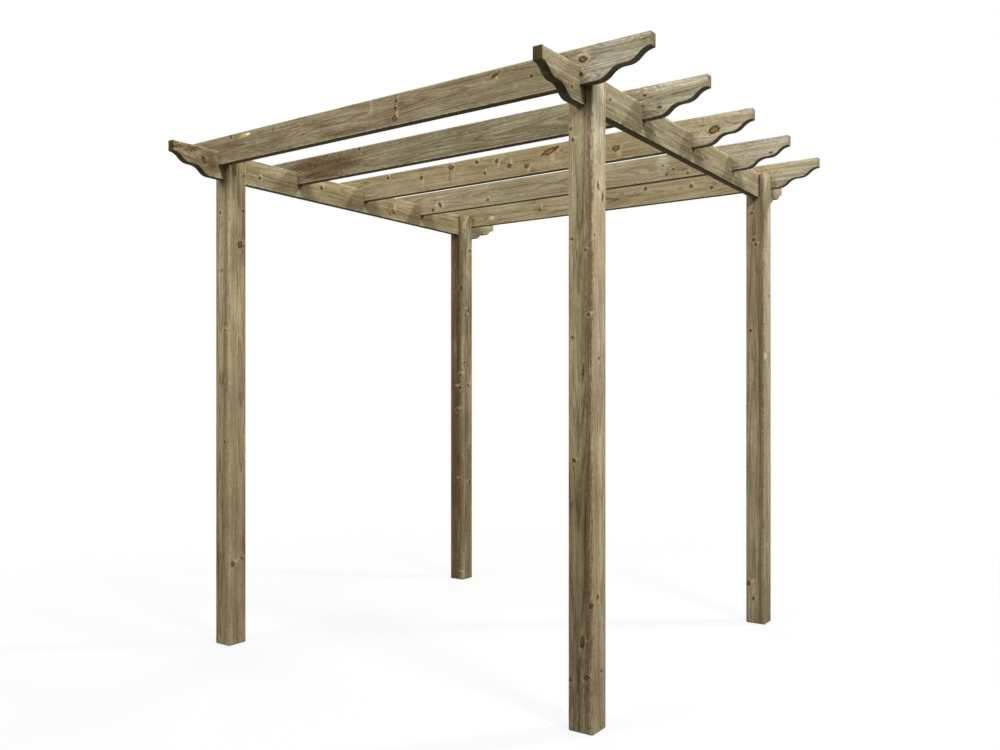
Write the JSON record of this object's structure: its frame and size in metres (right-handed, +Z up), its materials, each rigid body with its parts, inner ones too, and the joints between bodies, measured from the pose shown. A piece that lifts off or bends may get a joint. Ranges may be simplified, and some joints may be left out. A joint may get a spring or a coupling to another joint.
{
  "type": "garden pergola",
  "caption": "Square timber garden pergola: forked corner posts carry two beams on edge, and evenly spaced rafters notched over them; beam and rafter ends are cut to a double ogee.",
  "frame": {"origin": "on the floor, midway between the four posts", "axes": "+X along the rafters, to the right seen from the front; +Y along the beams, to the back; +Z up"},
  "size_m": [2.4, 2.365, 2.275],
  "materials": {
    "post_timber": "planed, pressure treated, weathered to a greenish tan",
    "beam_timber": "planed, pressure treated, weathered to a greenish tan",
    "rafter_timber": "planed, pressure treated, weathered to a greenish tan",
    "screw_steel": "dull dark screw heads, countersunk"
  },
  "bodies": {
    "root": {"front_left_post": "post_timber", "front_right_post": "post_timber", "back_left_post": "post_timber", "back_right_post": "post_timber", "left_beam": "beam_timber", "right_beam": "beam_timber", "front_rafter": "rafter_timber", "second_rafter": "rafter_timber", "middle_rafter": "rafter_timber", "fourth_rafter": "rafter_timber", "back_rafter": "rafter_timber"}
  },
  "joints": []
}
